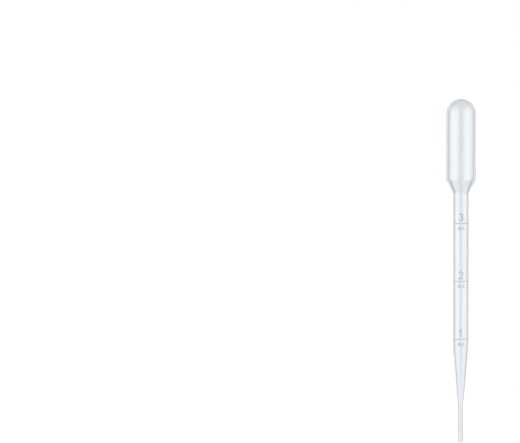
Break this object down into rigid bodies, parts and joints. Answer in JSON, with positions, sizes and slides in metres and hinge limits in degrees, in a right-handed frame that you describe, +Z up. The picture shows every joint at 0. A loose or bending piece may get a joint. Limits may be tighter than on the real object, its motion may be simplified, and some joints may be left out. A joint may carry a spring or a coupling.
{
  "type": "dropper pipette",
  "caption": "Soft plastic dropper pipette blown in one piece, with a squeeze bulb, a graduated stem and a fine open tip, for drawing up and dripping small volumes of liquid.",
  "frame": {"origin": "under the middle of the pipette's length, on the surface that it lies on", "axes": "+Y runs level along the pipette from its tip towards its bulb, +Z points up on the side of the graduation marks, and +X points across to the right"},
  "size_m": [0.014, 0.16, 0.0152],
  "materials": {
    "natural_polyethylene": "smooth blow moulded, translucent, semi-gloss"
  },
  "bodies": {
    "root": {"pipette": "natural_polyethylene"}
  },
  "joints": []
}
